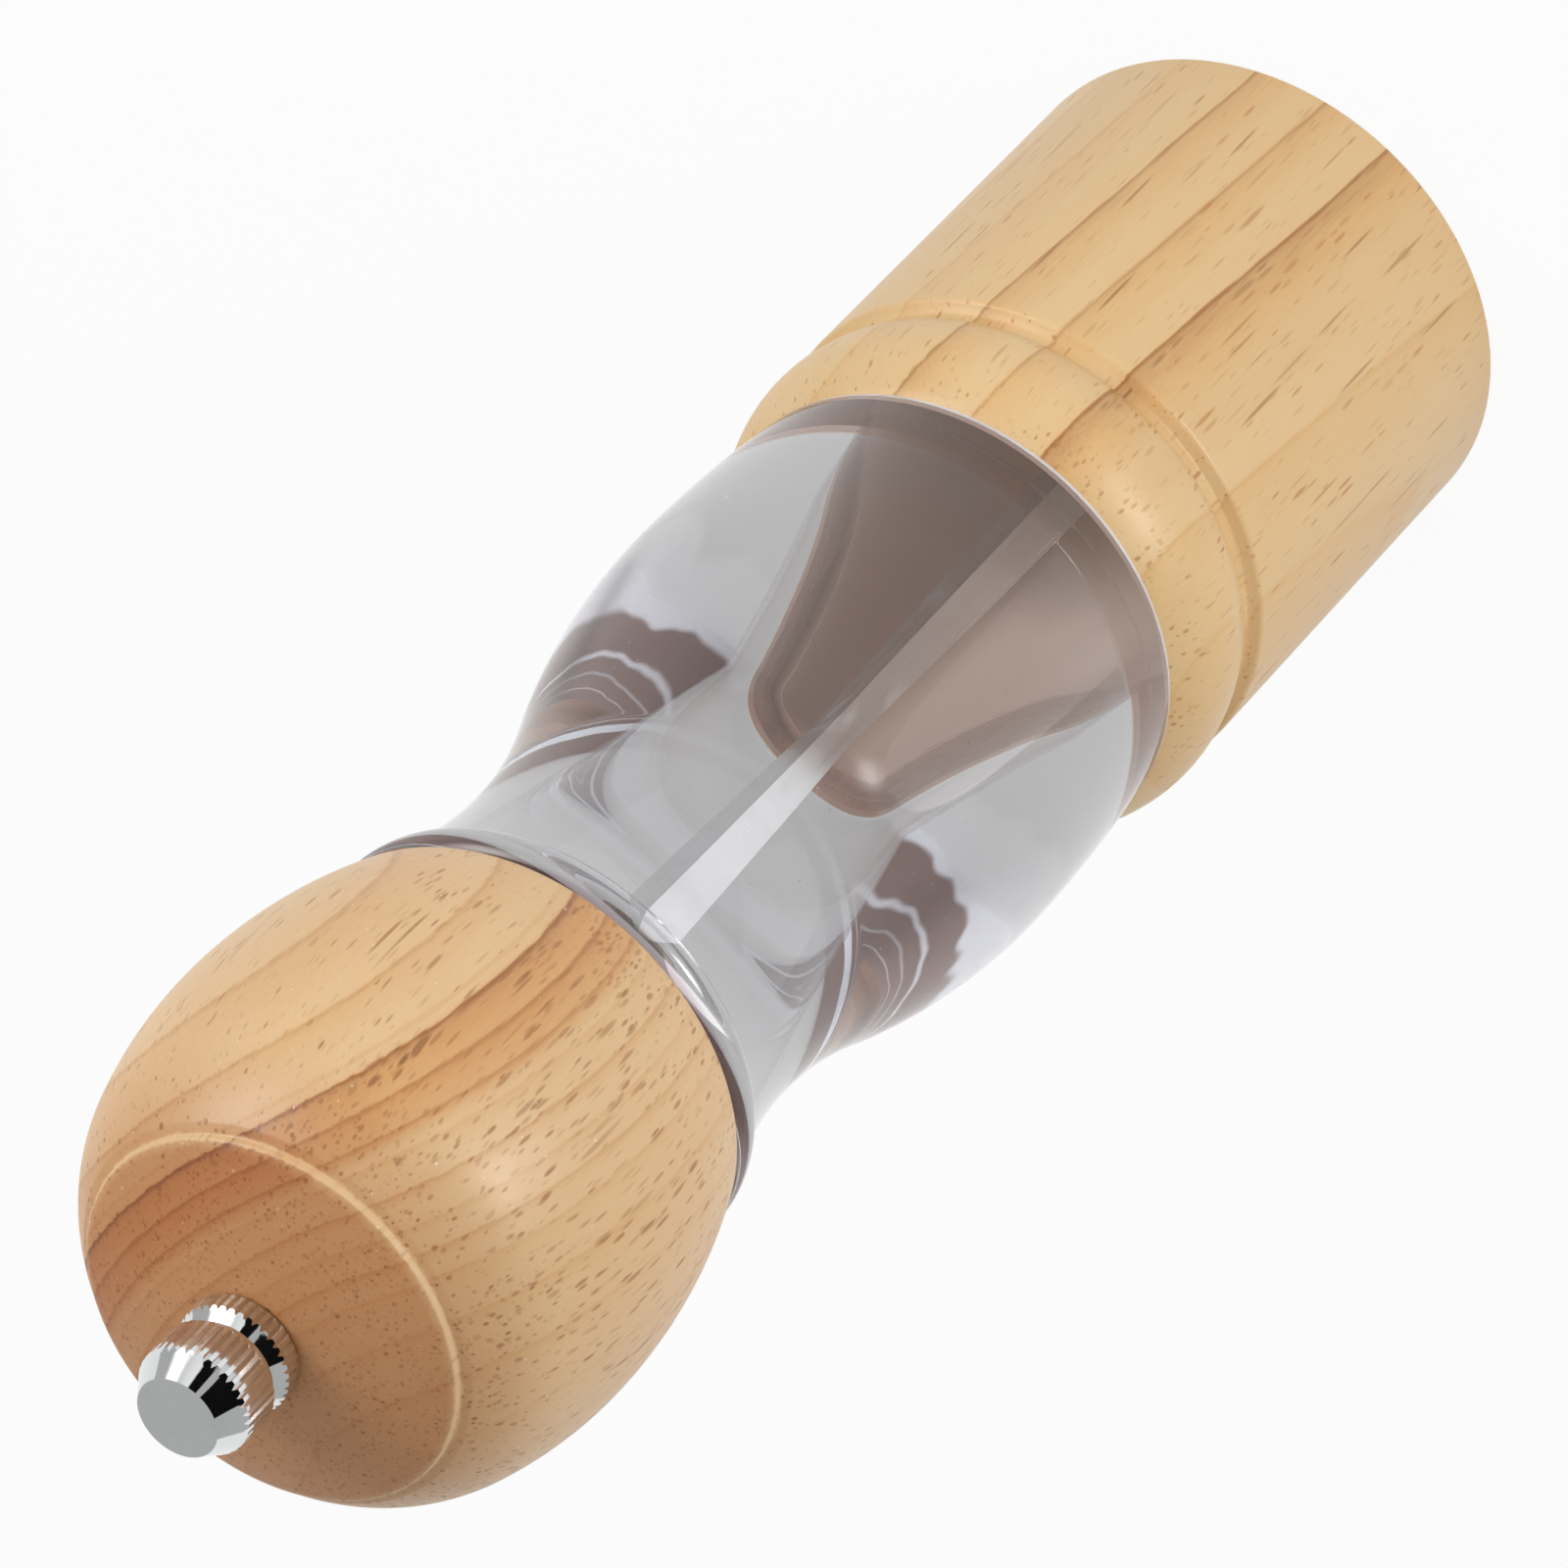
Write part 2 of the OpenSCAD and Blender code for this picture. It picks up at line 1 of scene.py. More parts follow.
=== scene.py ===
# %% [markdown]
# # A turned pepper mill
# The mill has a wooden base, a clear hourglass body and a round wooden head. A square shaft
# runs through the middle, and a chrome nut on top sets how fine it grinds.
# The moving frame comes from the CAD model. This lesson dresses it: it turns the wood and the
# clear body again as fine smooth meshes, and gives every piece its finish.
# Everything is in metres, in the frame of the CAD model, so a piece is made where it stands.

# %% Load the frame
import json
import math

import bpy
from mathutils import Matrix, Vector

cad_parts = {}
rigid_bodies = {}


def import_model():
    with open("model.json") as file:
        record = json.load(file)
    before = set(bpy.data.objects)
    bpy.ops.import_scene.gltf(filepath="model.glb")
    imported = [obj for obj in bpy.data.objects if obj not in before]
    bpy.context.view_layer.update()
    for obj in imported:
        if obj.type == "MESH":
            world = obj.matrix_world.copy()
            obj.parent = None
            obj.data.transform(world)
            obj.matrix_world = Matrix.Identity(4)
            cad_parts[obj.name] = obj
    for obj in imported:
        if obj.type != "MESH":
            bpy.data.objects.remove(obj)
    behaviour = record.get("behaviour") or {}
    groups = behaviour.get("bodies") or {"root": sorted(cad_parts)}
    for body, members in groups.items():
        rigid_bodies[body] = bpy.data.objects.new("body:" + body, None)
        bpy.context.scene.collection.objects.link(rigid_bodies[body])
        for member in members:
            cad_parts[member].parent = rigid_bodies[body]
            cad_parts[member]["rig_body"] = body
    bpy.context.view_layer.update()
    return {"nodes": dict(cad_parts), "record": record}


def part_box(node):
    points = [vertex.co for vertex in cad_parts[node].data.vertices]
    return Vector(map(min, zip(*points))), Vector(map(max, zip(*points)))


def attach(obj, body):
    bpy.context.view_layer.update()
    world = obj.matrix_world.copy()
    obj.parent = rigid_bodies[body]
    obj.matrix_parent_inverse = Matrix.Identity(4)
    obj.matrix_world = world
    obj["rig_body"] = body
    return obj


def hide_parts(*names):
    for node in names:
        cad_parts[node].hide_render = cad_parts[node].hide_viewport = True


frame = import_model()

# %% [markdown]
# ## The camera
# A long lens from a metre away keeps the sides of the mill nearly parallel, as a product
# picture does. The camera looks down at the standing mill and is rolled over, so that the
# mill lies across the picture from corner to corner.
# The roll could also be made by laying the mill down, but then its joints would no longer
# turn about upright axes. It is simpler to turn the camera.

# %% Place the camera
MM = 0.001
PICTURE_SIDE = 1600
LENS_PIXELS = 12000
SENSOR_MM = 36.0
LOOK_DOWN = math.radians(44.0)
ROLL = math.radians(223.73)
CAMERA_AWAY = 1.147
AIM = Vector((0.0, 0.0, 0.097))

across = Vector((1.0, 0.0, 0.0))
towards = Vector((0.0, -math.cos(LOOK_DOWN), math.sin(LOOK_DOWN)))
upwards = towards.cross(across)
picture_right = across * math.cos(ROLL) + upwards * math.sin(ROLL)
picture_up = upwards * math.cos(ROLL) - across * math.sin(ROLL)

bpy.ops.object.camera_add()
camera = bpy.context.object
turn = Matrix((picture_right, picture_up, towards)).transposed().to_4x4()
camera.matrix_world = Matrix.Translation(AIM + towards * CAMERA_AWAY) @ turn
camera.data.sensor_width = SENSOR_MM
camera.data.lens = SENSOR_MM * LENS_PIXELS / PICTURE_SIDE
camera.data.clip_end = 20.0
bpy.context.scene.camera = camera
print("The lens is", camera.data.lens, "mm long")

# %% [markdown]
# ## Writing a finish
# A finish is a small network of nodes. Wiring it by hand takes many clicks, so this lesson
# writes it as sums in Python instead. A Wire stands for one output of a node, and adding or
# multiplying wires makes the Math nodes. Every other node comes from Finish.node.

# %% Wires and finishes
class Wire:
    """One output of a node, which can be added, multiplied and so on."""

    def __init__(self, finish, socket):
        self.finish = finish
        self.socket = socket

    def also(self, name):
        """Another output of the same node."""
        return Wire(self.finish, self.socket.node.outputs[name])

    def __add__(self, other):
        return self.finish.math("ADD", self, other)

    def __sub__(self, other):
        return self.finish.math("SUBTRACT", self, other)

    def __rsub__(self, other):
        return self.finish.math("SUBTRACT", other, self)

    def __mul__(self, other):
        return self.finish.math("MULTIPLY", self, other)

    def __pow__(self, other):
        return self.finish.math("POWER", self, other)

    __radd__ = __add__
    __rmul__ = __mul__


class Finish:
    """A material that is written as expressions."""

    def __init__(self, name):
        self.material = bpy.data.materials.new(name)
        self.material.use_nodes = True
        self.tree = self.material.node_tree
        self.shader = self.tree.nodes["Principled BSDF"]

    def node(self, kind, settings=None, inputs=None, output=0):
        """Adds a node, sets it up, fills its sockets and gives one of its outputs."""
        node = self.tree.nodes.new(kind)
        for name, value in (settings or {}).items():
            if name == "stops":
                fill_ramp(node.color_ramp, value)
            else:
                setattr(node, name, value)
        for key, value in (inputs or {}).items():
            self.feed(node.inputs[key], value)
        return Wire(self, node.outputs[output])

    def feed(self, socket, value):
        """Links a wire to a socket, or writes a plain value on it."""
        if isinstance(value, Wire):
            self.tree.links.new(value.socket, socket)
        else:
            socket.default_value = value

    def wear(self, **values):
        """Feeds the shader's own sockets. Underscores stand for spaces."""
        for name, value in values.items():
            self.feed(self.shader.inputs[name.replace("_", " ")], value)
        return self.material

    def math(self, operation, first, second):
        """One Math node."""
        return self.node("ShaderNodeMath", {"operation": operation}, {0: first, 1: second})

    def place(self, output="Object"):
        """A point on the piece, in millimetres, or the direction that its surface faces."""
        point = self.node("ShaderNodeTexCoord", output=output)
        if output != "Object":
            return point
        values = {0: point, "Scale": 1 / MM}
        return self.node("ShaderNodeVectorMath", {"operation": "SCALE"}, values)

    def stretch(self, vector, factors):
        """A vector multiplied along each axis by its own factor."""
        return self.node("ShaderNodeVectorMath", {"operation": "MULTIPLY"}, {0: vector, 1: factors})

    def split(self, vector):
        """The three numbers of a vector."""
        x = self.node("ShaderNodeSeparateXYZ", inputs={0: vector})
        return x, x.also("Y"), x.also("Z")

    def noise(self, vector, factors, detail=2.0, roughness=0.5):
        """Smooth random values about one half, stretched along each axis."""
        spread = self.stretch(vector, factors)
        values = {"Vector": spread, "Scale": 1.0, "Detail": detail, "Roughness": roughness}
        return self.node("ShaderNodeTexNoise", inputs=values)

    def smooth(self, value, low, high):
        """Rises softly from 0 at low to 1 at high."""
        values = {"Value": value, "From Min": low, "From Max": high}
        return self.node("ShaderNodeMapRange", {"interpolation_type": "SMOOTHSTEP"}, values)

    def blend(self, share, first, second, how="MIX"):
        """Mixes two colours by a share from 0 to 1."""
        settings = {"data_type": "RGBA", "blend_type": how}
        return self.node("ShaderNodeMix", settings, {0: share, 6: first, 7: second}, 2)

    def relief(self, height, depth_mm):
        """A bump from a height of 0 to 1, as deep as given."""
        values = {"Height": height, "Distance": depth_mm * MM, "Strength": 1.0}
        return self.node("ShaderNodeBump", inputs=values)

    def shader_node(self, kind, inputs=None):
        """A whole shader, by the end of its node's name."""
        return self.node("ShaderNode" + kind, inputs=inputs)

    def either(self, share, first, second):
        """Mixes two shaders by a share from 0 to 1."""
        return self.node("ShaderNodeMixShader", inputs={0: share, 1: first, 2: second})

    def own_shader(self):
        """What the finish's Principled shader gives."""
        return Wire(self, self.shader.outputs[0])

    def end_with(self, shader):
        """Makes a shader the one that is seen, and gives the material."""
        self.feed(self.tree.nodes["Material Output"].inputs["Surface"], shader)
        return self.material


def fill_ramp(ramp, stops):
    """Writes (position, value or colour) pairs on a ramp that holds two stops at first."""
    while len(ramp.elements) < len(stops):
        ramp.elements.new(0.5)
    for element, (position, value) in zip(ramp.elements, stops):
        element.position = position
        element.color = value if isinstance(value, tuple) else (value, value, value, 1.0)


def tone(red, green, blue):
    """A colour as a painter reads it, 0 to 255, turned into the linear values of a shader."""
    steps = [v / 255 for v in (red, green, blue)]
    return tuple(v / 12.92 if v <= 0.04045 else ((v + 0.055) / 1.055) ** 2.4 for v in steps) + (1.0,)


print("A pale wood tone in linear light is", tone(224, 194, 148))

# %% [markdown]
# ## Growth lines in wood
# A tree adds one ring a year. The wood darkens slowly through the year and ends in a thin
# dark line, where the next pale ring starts. A plank is a cut through those rings, so its
# lines are not painted on the surface: they run through the whole solid.
# An image wrapped round the mill would show a seam and stretch over the round head. Here the
# rings are a function of the distance from the middle of the tree, so the same lines run down
# the side, bend over a bead and cross the end grain on top, as they do when wood is turned.

# %% Rings as a function of the distance from the pith
RINGS_ON_A_RAMP = 6
LINE_WIDTH = 0.4
LINE_END = 0.22


def ring_shade(wood, age, rings):
    """How dark the rings are, 0 to 1. Each ring is (place, darkness, fade in millimetres)."""
    shade = 0.0
    for first in range(0, len(rings), RINGS_ON_A_RAMP):
        group = rings[first:first + RINGS_ON_A_RAMP]
        low = group[0][0] - group[0][2] - 1.0
        high = group[-1][0] + 1.0
        stops = [(0.0, 0.0)]
        for place, dark, fade in group:
            stops += [(place - fade, 0.0), (place - 0.4 * fade, 0.3 * dark)]
            stops += [(place - LINE_WIDTH, 0.5 * dark), (place, dark), (place + LINE_END, 0.0)]
        stops = [(max(0.0, (at - low) / (high - low)), value) for at, value in stops[1:]]
        along = wood.node("ShaderNodeMapRange", inputs={"Value": age, "From Min": low, "From Max": high})
        ramp = wood.node("ShaderNodeValToRGB", {"stops": stops}, {0: along})
        shade = ramp + shade
    return shade


def lay_rings(rings, lean, measured_at):
    """Rings given as (distance from the pith, darkness, fade) at a height, brought to height 0.
    A fade stops short of the ring before it."""
    laid = []
    before = rings[0][0] - 20.0
    for place, dark, fade in rings:
        room = place - before - LINE_END - 0.2
        laid.append((place - lean * measured_at, dark, min(fade, room)))
        before = place
    return laid


print("A line is", LINE_WIDTH + LINE_END, "mm wide")

# %% [markdown]
# ## Pores
# This wood has wide vessels. Cut along its length, each shows as a short brown dash, and on
# the end grain the same vessel shows as a dot. Stretched cells give both at once: a cell's
# middle is the middle of a vessel, and the cells are long along the grain.

# %% Vessels in the wood
def vessels(wood, place, width, length, size, share, fray):
    """Long narrow marks along Z, 1 inside the strongest. Only a share of the cells holds one."""
    cells = wood.stretch(place, (1 / width, 1 / width, 1 / length))
    near = wood.node("ShaderNodeTexVoronoi", {"feature": "F1"}, {"Vector": cells, "Scale": 1.0})
    pick = wood.node("ShaderNodeSeparateColor", inputs={0: near.also("Color")})
    reach = near * (1.35 - pick.also("Green") * 0.7) + fray * 0.12
    inside = 1 - wood.smooth(reach, 0.45 * size, size)
    return inside * wood.math("LESS_THAN", pick, share) * (0.35 + pick.also("Blue") * 0.65)


def between(wood, value, low, high, soft):
    """1 from low to high, with soft ends."""
    return wood.smooth(value, low - soft, low + soft) - wood.smooth(value, high - soft, high + soft)


print("Vessels are ready")

# %% [markdown]
# ## The wood of the base and the head
# The two pieces come from different planks, so each has its own pith, rings and colours. The
# rings lean a little, because no tree grows quite straight.
# Over the rings lie faint flecks and streaks along the grain, then the brown dashes of the
# vessels, which crowd together in the rings nearer the pith. Beside the darkest line a few
# vessels are filled with a dark resin.
# End grain drinks more of the lacquer, so the crown and the shoulder that faces up are darker
# than the side. The crown's turned edge is painted paler: a painted highlight, where the edge catches
# the light.
# Inside the bores the wood is raw. Low down on one side it is painted paler, a painted pool of
# the light from the softbox on the right. It is warmer near the bottom and darker on the land that was
# glued.

# %% Lacquered wood
CROWN_R = 20.0
HONEY = tone(238, 206, 160)
RESIN = tone(122, 68, 24)
SANDED = tone(250, 238, 218)
RAW_WOOD = tone(206, 176, 158)
RAW_WOOD_PAINTED_LIT = tone(255, 232, 212)
RAW_WOOD_DEEP = tone(255, 204, 136)
RAW_WOOD_GLUED = tone(170, 138, 120)
GLUED_FROM = 18.0
# Below every ring, radius and height, for a band with only an upper end
EVERYWHERE = -200.0
# Width, length and size of the three kinds of vessel, and how many there are of each
VESSELS = ((0.85, 5.0, 0.27, 1.0), (1.3, 12.0, 0.2, 1.2), (0.62, 4.0, 0.3, 0.8))


def lacquered_wood(name, pith, lean, rings, colours, warm, porous, dark_at, crown, crown_z, edge_highlight, raw):
    """Wood under satin lacquer, with its rings round the pith. Lengths are in millimetres.
    Warm is a band of rings and how warm it is. Porous is the ring up to which the vessels
    crowd, their share beyond it and what is added before it. Raw is how far out and how far
    up the bare wood of the bore reaches."""
    pale, tan, line, pore = colours
    wood = Finish(name)
    place = wood.place()
    x, y, z = wood.split(place)
    reach = ((x - pith[0]) ** 2 + (y - pith[1]) ** 2) ** 0.5
    sway = wood.noise(place, (0.05, 0.05, 0.014), detail=1.0) - 0.5
    fray = wood.noise(place, (1.6, 1.6, 0.1), detail=2.0) - 0.5
    age = reach - z * lean + sway * 1.2 + fray * 0.5
    shade = ring_shade(wood, age, rings)

    fibres = wood.noise(place, (4.2, 4.2, 0.16), detail=3.0, roughness=0.7)
    clouds = wood.noise(place, (0.09, 0.09, 0.02), detail=2.0)
    mottle = wood.noise(place, (0.5, 0.5, 0.12), detail=2.0)
    stops = [(0.0, pale), (0.35, tan), (1.0, line)]
    depth = shade + clouds * 0.3 + mottle * 0.14 + fibres * 0.3 - 0.3
    body = wood.node("ShaderNodeValToRGB", {"stops": stops}, {0: depth})
    warmth = between(wood, age, warm[0], warm[1], 1.2) * warm[2]
    body = wood.blend(warmth, body, wood.blend(1.0, body, HONEY, "MULTIPLY"))

    crowd = porous[1] + between(wood, age, EVERYWHERE, porous[0], 2.0) * porous[2]
    patch = wood.smooth(wood.noise(place, (0.12, 0.12, 0.03), detail=1.0), 0.36, 0.6)
    share = crowd * (0.35 + patch * 0.9) + warmth * 0.12
    flecks = vessels(wood, place, 0.5, 4.5, 0.32, 0.45, fray) * 0.3
    streaks = vessels(wood, place, 0.7, 14.0, 0.32, 0.16 + warmth * 0.9, fray)
    body = wood.blend(wood.math("MAXIMUM", flecks, streaks * 0.75), body, line)
    beside_line = between(wood, age, dark_at - 1.3, dark_at + 0.1, 0.2)
    blots = vessels(wood, place, 0.9, 6.0, 0.38, 0.6, fray) * beside_line
    body = wood.blend(blots * 0.8, body, RESIN)
    marks = 0.0
    for width, length, size, more in VESSELS:
        kind = vessels(wood, place, width, length, size, share * more, fray)
        marks = wood.math("MAXIMUM", marks, kind)
    facing = wood.split(wood.place("Normal"))[2]
    ends = wood.smooth(facing, 0.72, 0.9) * wood.smooth(z, crown_z - 0.5, crown_z)
    marked = wood.blend(marks * (0.75 - ends * 0.3), body, pore)
    soaked = wood.math("MAXIMUM", ends, wood.smooth(facing, 0.3, 0.85) * 0.65)
    colour = wood.blend(soaked, marked, wood.blend(1.0, marked, crown, "MULTIPLY"))
    from_axis = (x ** 2 + y ** 2) ** 0.5
    ragged = from_axis + (wood.noise(place, (1.2, 1.2, 1.2), detail=2.0) - 0.5) * 0.7
    # Painted highlight: the ring round the crown's turned edge is painted paler, where the edge catches
    # the light.
    edge = between(wood, ragged, CROWN_R - 0.15, CROWN_R + 0.2, 0.15)
    colour = wood.blend(edge * wood.smooth(z, crown_z - 1.2, crown_z - 0.8) * 0.6, colour, edge_highlight)
    within = between(wood, from_axis, EVERYWHERE, raw[0], 0.05)
    bare = within * between(wood, z, EVERYWHERE, raw[1], 0.05)
    stain = wood.smooth(wood.noise(place, (0.1, 0.1, 0.05), detail=1.0), 0.36, 0.62)
    # Painted light: low down, the side of the bore away from the right softbox is painted paler, where
    # that softbox's light would fall.
    light = wood.smooth(x, 2.0, -7.0) * wood.smooth(z, 62.0, 48.0) * (0.65 + stain * 0.35)
    deep = wood.smooth(z, 44.0, 28.0) * (1 - stain * 0.35)
    bore = wood.blend(deep, wood.blend(light, RAW_WOOD, RAW_WOOD_PAINTED_LIT), RAW_WOOD_DEEP)
    glued = wood.smooth(from_axis, GLUED_FROM - 0.1, GLUED_FROM + 0.1)
    colour = wood.blend(bare, colour, wood.blend(glued, bore, RAW_WOOD_GLUED))
    dust = vessels(wood, place, 1.3, 1.3, 0.1, 0.3, fray) * wood.smooth(z, 140.0, 150.0)
    colour = wood.blend(dust * 0.5, colour, SANDED)
    height = 1 - marks * 0.9 + fibres * 0.12
    return wood.wear(
        Base_Color=colour,
        Roughness=0.42 + fibres * 0.12 + marks * 0.2,
        Normal=wood.relief(height, 0.03),
        Coat_Weight=0.25,
        Coat_Roughness=0.3,
    )


BASE_LEAN = 0.068
BASE_RINGS = lay_rings(
    [(92.6, 0.25, 5.0), (100.2, 0.4, 5.0), (115.0, 1.0, 7.0), (123.1, 0.65, 5.0), (130.8, 0.75, 5.0),
     (138.0, 0.35, 4.0), (144.5, 0.3, 4.0)],
    lean=BASE_LEAN,
    measured_at=34.0,
)
base_wood = lacquered_wood(
    "base_wood",
    pith=(-111.6, -43.2),
    lean=BASE_LEAN,
    rings=BASE_RINGS,
    colours=(tone(227, 194, 143), tone(222, 180, 122), tone(162, 104, 46), tone(190, 130, 74)),
    warm=(101.5, 112.6, 0.15),
    porous=(112.7, 0.14, 0.12),
    dark_at=112.6,
    crown=tone(255, 255, 255),
    crown_z=90.0,
    edge_highlight=tone(222, 192, 146),
    raw=(25.0, 65.5),
)
HEAD_LEAN = 0.07
HEAD_RINGS = lay_rings(
    [(25.0, 0.15, 2.0), (30.0, 0.15, 2.0), (36.3, 0.2, 2.0), (41.9, 0.22, 2.0), (46.4, 0.22, 2.0),
     (49.0, 0.36, 1.5), (51.6, 0.22, 1.5), (54.7, 0.42, 1.5), (57.7, 0.2, 1.5), (59.6, 0.5, 2.0),
     (62.2, 0.6, 2.0), (65.0, 0.95, 3.0), (66.1, 0.2, 0.8), (70.2, 0.45, 3.0), (75.0, 0.45, 4.0)],
    lean=HEAD_LEAN,
    measured_at=165.0,
)
head_wood = lacquered_wood(
    "head_wood",
    pith=(-50.0, 5.0),
    lean=HEAD_LEAN,
    rings=HEAD_RINGS,
    colours=(tone(223, 187, 140), tone(214, 169, 116), tone(156, 98, 46), tone(158, 98, 52)),
    warm=(47.5, 53.2, 0.62),
    porous=(49.5, 0.22, 0.62),
    dark_at=53.3,
    crown=tone(224, 193, 170),
    crown_z=191.6,
    edge_highlight=tone(226, 190, 144),
    raw=(14.8, 148.5),
)
print("The base has", len(BASE_RINGS), "growth lines and the head", len(HEAD_RINGS))

# %% [markdown]
# ## Clear acrylic
# The body is one thick moulding. It is nearly colourless, and what it shows is bent light:
# the wood under it spreads into a brown arch, and the thick walls look like a lens.
# A faked glass with transparency would show none of that, so the shader really refracts.
# Some light is mirrored again and again inside the thick wall, and most of it ends in the
# wood. To follow it all the way takes many more bounces than a renderer allows, and what it
# gives up on turns black. So after two reflections the wall counts as dull instead: brown on
# the side of the chamber, smoky outside and mauve near the rim. A curved wall also gathers
# light in thin bright lines, and each lies where the last stretch of the way has one length.
# So the dull wall turns pale wherever that length falls in one of a few short ranges.
# Specks of dust sit on the wall. The top of the rim is painted mauve, a painted reflection of
# the dark seam under the head. A ring at the foot is matt from grinding, and its narrow white line
# is a painted highlight that only the camera sees.
# Light on its way to the wood inside goes straight through, which is quick and leaves no
# grain. Only what the eye sees is bent.

# %% The clear finish
ACRYLIC_BENDS = 1.49
RIM_PAINTED_REFLECTION = (0.6, 0.47, 0.5, 1.0)
# More glossy bounces than this, and the light counts as lost
LOST_AFTER = 1.5
# First and last length of the bright lines, in millimetres, and how bright each is
GATHERED = [(13.0, 16.4, 0.95), (19.4, 20.0, 0.75), (22.2, 22.6, 0.4), (25.5, 25.9, 0.5)]


def clear_acrylic():
    """Thick acrylic that refracts, with tones that stand for light lost in the wall."""
    acrylic = Finish("clear_acrylic")
    place = acrylic.place()
    x, y, height = acrylic.split(place)
    ripple = acrylic.noise(place, (0.06, 0.06, 0.04), detail=1.0)
    handled = acrylic.noise(place, (0.15, 0.15, 0.1), detail=3.0)
    matt = acrylic.smooth(height, 65.0, 65.1) * (1 - acrylic.smooth(height, 65.5, 65.8))
    tint = acrylic.blend(handled, (0.95, 0.95, 0.965, 1.0), (0.97, 0.97, 0.98, 1.0))
    # The top of the rim is painted mauve: a painted reflection of the dark seam under the head.
    acrylic.wear(
        Base_Color=acrylic.blend(acrylic.smooth(height, 146.3, 146.8), tint, RIM_PAINTED_REFLECTION),
        Roughness=acrylic.smooth(handled, 0.6, 0.8) * 0.015 + matt * 0.3,
        Normal=acrylic.relief(ripple, 0.06),
        Transmission_Weight=1.0,
        IOR=ACRYLIC_BENDS,
    )
    outside = acrylic.smooth((x ** 2 + y ** 2) ** 0.5, 18.0, 19.0)
    brown = acrylic.shader_node("BsdfTranslucent", {"Color": tone(144, 122, 116)})
    mauve = acrylic.shader_node("BsdfTranslucent", {"Color": tone(136, 120, 132)})
    smoke = acrylic.shader_node("BsdfTranslucent", {"Color": tone(178, 170, 172)})
    pale = acrylic.shader_node("BsdfTranslucent", {"Color": (0.9, 0.93, 1.0, 1.0)})
    dull = acrylic.either(outside, brown, smoke)
    dull = acrylic.either(acrylic.smooth(height, 130.0, 142.0), dull, mauve)
    path = acrylic.node("ShaderNodeLightPath", output="Glossy Depth")
    wave = acrylic.noise(place, (0.12, 0.12, 0.08), detail=1.0) - 0.5
    travelled = path.also("Ray Length") * (1 / MM) + wave * 3.0
    lines = 0.0
    for first, last, strength in GATHERED:
        line = between(acrylic, travelled, first, last, 0.25) * strength
        lines = acrylic.math("MAXIMUM", lines, line)
    dust = vessels(acrylic, place, 2.6, 2.6, 0.05, 0.4, wave)
    lines = acrylic.math("MAXIMUM", lines, dust)
    lost = acrylic.either(lines, dull, pale)
    late = acrylic.math("MAXIMUM", acrylic.math("GREATER_THAN", path, LOST_AFTER), dust * 0.7)
    seen = acrylic.either(late, acrylic.own_shader(), lost)
    # The matt ring at the foot also carries a painted highlight: a white line that only camera rays see.
    ground_ring_highlight = between(acrylic, height, 65.1, 66.0, 0.1) * (0.4 + handled * 0.6)
    frosted_highlight = acrylic.shader_node("BsdfDiffuse", {"Color": (0.86, 0.86, 0.87, 1.0)})
    seen = acrylic.either(ground_ring_highlight * path.also("Is Camera Ray"), seen, frosted_highlight)
    lighting = acrylic.math("MAXIMUM", path.also("Is Shadow Ray"), path.also("Is Diffuse Ray"))
    straight = acrylic.shader_node("BsdfTransparent", {"Color": (0.96, 0.96, 0.97, 1.0)})
    return acrylic.end_with(acrylic.either(lighting, seen, straight))


clear_body = clear_acrylic()
print("The clear finish bends light by", ACRYLIC_BENDS)

# %% [markdown]
# ## Metals, plastic and ceramic
# Chrome is a mirror with a trace of haze. The shaft is drawn bar with fine lines along it.
# The hidden pieces are zinc-plated steel, spring wire, black plastic and white ceramic. Each
# gets a slight unevenness, because a perfectly even surface looks like paint on a screen.

# %% The other finishes
def metal(name, colour, haze, grain, depth_mm):
    """A metal whose haze and relief follow a noise stretched by grain."""
    finish = Finish(name)
    place = finish.place()
    lines = finish.noise(place, grain, detail=4.0, roughness=0.6)
    dull = finish.noise(place, (0.3, 0.3, 0.3), detail=3.0)
    darker = tuple(0.82 * v for v in colour[:3]) + (1.0,)
    return finish.wear(
        Base_Color=finish.blend(finish.smooth(dull, 0.45, 0.85) * 0.4, colour, darker),
        Metallic=1.0,
        Roughness=haze + lines * haze + finish.smooth(dull, 0.5, 0.8) * haze,
        Normal=finish.relief(lines, depth_mm),
    )


def solid_finish(name, colour, stain, roughness, depth_mm):
    """Moulded or fired material with a fine surface and slight stains."""
    finish = Finish(name)
    place = finish.place()
    fine = finish.noise(place, (4.0, 4.0, 4.0), detail=3.0)
    spots = finish.noise(place, (0.35, 0.35, 0.35), detail=3.0)
    return finish.wear(
        Base_Color=finish.blend(finish.smooth(spots, 0.45, 0.8), colour, stain),
        Roughness=roughness + fine * 0.15,
        Normal=finish.relief(fine, depth_mm),
    )


chrome = metal("chrome", (0.74, 0.75, 0.755, 1.0), 0.03, (1.5, 1.5, 1.5), 0.0002)
drawn_bar = metal("shaft_aluminium", (0.86, 0.87, 0.87, 1.0), 0.2, (5.0, 5.0, 0.03), 0.002)
zinc_plate = metal("plated_steel", (0.66, 0.67, 0.69, 1.0), 0.18, (2.0, 2.0, 2.0), 0.01)
screw_zinc = metal("screw_steel", (0.6, 0.61, 0.63, 1.0), 0.2, (3.0, 3.0, 3.0), 0.01)
spring_wire = metal("spring_steel", (0.55, 0.56, 0.58, 1.0), 0.16, (5.0, 5.0, 5.0), 0.006)
black_plastic = solid_finish("housing_plastic", tone(38, 38, 40), tone(52, 50, 50), 0.42, 0.02)
white_ceramic = solid_finish("ceramic", tone(232, 229, 220), tone(214, 208, 196), 0.45, 0.02)
